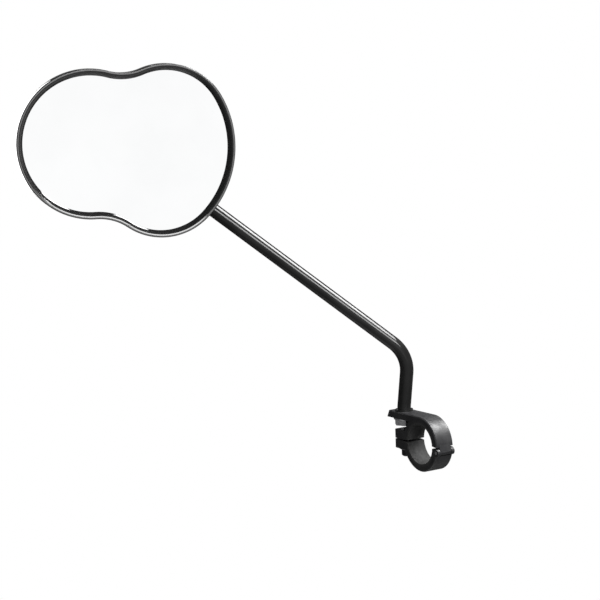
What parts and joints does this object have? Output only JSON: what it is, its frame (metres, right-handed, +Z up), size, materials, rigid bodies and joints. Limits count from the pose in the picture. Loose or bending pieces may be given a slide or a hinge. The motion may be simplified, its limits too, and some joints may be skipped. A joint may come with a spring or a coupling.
{
  "type": "handlebar mirror",
  "caption": "Handlebar rear-view mirror: a bean-shaped glass on a ball joint, a bent rod arm and a hinged band clamp for the bar.",
  "frame": {"origin": "centre of the clamp's bore, in the middle of the collar's width", "axes": "+X along the handlebar, from its open end towards the stem; +Y forward, away from the rider; +Z up, square to the clamp's split"},
  "size_m": [0.2108, 0.1136, 0.2292],
  "materials": {
    "clamp_coat": "fine matte black powder coat on cast aluminium",
    "shim_rubber": "ribbed soft black rubber lining",
    "zinc_steel": "zinc plated steel",
    "bolt_steel": "black oxide steel",
    "rod_gloss": "smooth satin to gloss black paint on steel rod",
    "ball_chrome": "polished steel ball",
    "nylon": "natural nylon",
    "socket_plastic": "fine grained black plastic",
    "shell_gloss": "glossy black moulded plastic",
    "mirror_silver": "flat silvered glass",
    "gasket_rubber": "soft black rubber frame",
    "foam": "double-sided adhesive foam",
    "tray_plastic": "matte black plastic"
  },
  "bodies": {
    "clamp": {"clamp_upper": "clamp_coat", "shim_upper": "shim_rubber", "hinge_pin": "zinc_steel", "bolt_nut": "zinc_steel"},
    "jaw": {"clamp_lower": "clamp_coat", "shim_lower": "shim_rubber"},
    "bolt": {"clamp_bolt": "bolt_steel", "bolt_washer": "zinc_steel"},
    "arm": {"arm_rod": "rod_gloss", "base_flange": "rod_gloss", "lock_washer": "zinc_steel", "lock_nut": "zinc_steel", "ball": "ball_chrome"},
    "rear_cup": {"liner_rear": "nylon"},
    "front_cup": {"liner_front": "nylon"},
    "head": {"socket_base": "socket_plastic", "socket_cap": "socket_plastic", "cap_screw_1": "bolt_steel", "cap_screw_2": "bolt_steel", "cap_screw_3": "bolt_steel", "base_screw_1": "zinc_steel", "base_screw_2": "zinc_steel", "base_screw_3": "zinc_steel", "rear_shell": "shell_gloss", "backing_plate": "tray_plastic", "foam_pad": "foam", "glass_gasket": "gasket_rubber", "mirror_glass": "mirror_silver", "bezel_ring": "shell_gloss"}
  },
  "joints": [
    {"name": "jaw_hinge", "type": "hinge", "parent": "clamp", "child": "jaw", "pos_m": [0, -0.0144, -0.0026], "axis": [-1, 0, 0], "range_deg": [0, 5]},
    {"name": "bolt_travel", "type": "slide", "parent": "clamp", "child": "bolt", "axis": [0, 0, -1], "range_m": [0, 0.0036]},
    {"name": "arm_swivel", "type": "hinge", "parent": "clamp", "child": "arm", "pos_m": [0, 0.0213, 0.0153], "axis": [0, 0, 1], "range_deg": [-90, 90]},
    {"name": "head_pan", "type": "hinge", "parent": "arm", "child": "rear_cup", "pos_m": [-0.13655, 0.07544, 0.17122], "axis": [0.12, -0.0753, 0.9899], "range_deg": [-11, 18]},
    {"name": "head_tilt", "type": "hinge", "parent": "rear_cup", "child": "front_cup", "pos_m": [-0.13655, 0.07544, 0.17122], "axis": [0.9435, -0.3015, -0.1374], "range_deg": [-12, 12]},
    {"name": "head_roll", "type": "hinge", "parent": "front_cup", "child": "head", "pos_m": [-0.13655, 0.07544, 0.17122], "axis": [-0.3088, -0.9505, -0.0349], "range_deg": [-30, 30]}
  ],
  "couplings": [
    {"joint": "bolt_travel", "follows": "jaw_hinge", "m_per_rad": 0.039}
  ]
}
